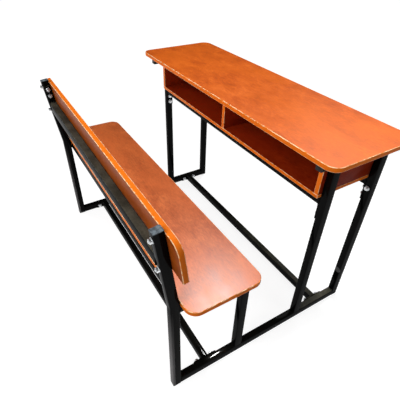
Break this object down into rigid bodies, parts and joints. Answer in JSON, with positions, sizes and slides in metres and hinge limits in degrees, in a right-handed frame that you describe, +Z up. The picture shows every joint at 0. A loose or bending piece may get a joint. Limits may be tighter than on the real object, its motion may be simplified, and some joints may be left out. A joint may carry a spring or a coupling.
{
  "type": "school bench with desk",
  "caption": "School bench with backrest and a joined desk with an open book box, laminated boards on welded rectangular tube frames.",
  "frame": {"origin": "on the floor under the middle of the bench, at the bottom centre of its bounding box", "axes": "+X along the bench, +Y from the backrest to the front of the desk, +Z up"},
  "size_m": [1.2, 0.8648, 0.76],
  "materials": {
    "frame_paint": "gloss",
    "laminate": "satin",
    "edging": "satin",
    "caps": "satin",
    "zinc": "bright"
  },
  "bodies": {
    "root": {"left_runner": "frame_paint", "left_rear_upright": "frame_paint", "left_seat_leg": "frame_paint", "left_seat_bearer": "frame_paint", "left_desk_leg_user": "frame_paint", "left_desk_leg_front": "frame_paint", "left_desk_bearer": "frame_paint", "right_runner": "frame_paint", "right_rear_upright": "frame_paint", "right_seat_leg": "frame_paint", "right_seat_bearer": "frame_paint", "right_desk_leg_user": "frame_paint", "right_desk_leg_front": "frame_paint", "right_desk_bearer": "frame_paint", "back_rail": "frame_paint", "seat_rail_rear": "frame_paint", "seat_rail_front": "frame_paint", "box_rail_user": "frame_paint", "box_rail_front": "frame_paint", "seat_stretcher": "frame_paint", "desk_stretcher": "frame_paint", "desktop": "laminate", "desktop_edging": "edging", "seat_board": "laminate", "seat_board_edging": "edging", "backrest_board": "laminate", "backrest_board_edging": "edging", "box_floor": "laminate", "box_floor_edging": "edging", "left_box_side": "laminate", "left_box_side_edging": "edging", "right_box_side": "laminate", "right_box_side_edging": "edging", "box_divider": "laminate", "box_divider_edging": "edging", "box_back": "laminate", "left_upright_cap": "caps", "left_bearer_cap": "caps", "left_backrest_bolt_1": "zinc", "left_back_rail_bolt_1": "zinc", "left_box_rail_user_bolt_1": "zinc", "left_seat_stretcher_bolt_1": "zinc", "left_desk_stretcher_bolt_1": "zinc", "left_backrest_bolt_2": "zinc", "left_back_rail_bolt_2": "zinc", "left_box_rail_user_bolt_2": "zinc", "left_seat_stretcher_bolt_2": "zinc", "left_desk_stretcher_bolt_2": "zinc", "right_upright_cap": "caps", "right_bearer_cap": "caps", "right_backrest_bolt_1": "zinc", "right_back_rail_bolt_1": "zinc", "right_box_rail_user_bolt_1": "zinc", "right_seat_stretcher_bolt_1": "zinc", "right_desk_stretcher_bolt_1": "zinc", "right_backrest_bolt_2": "zinc", "right_back_rail_bolt_2": "zinc", "right_box_rail_user_bolt_2": "zinc", "right_seat_stretcher_bolt_2": "zinc", "right_desk_stretcher_bolt_2": "zinc"}
  },
  "joints": []
}
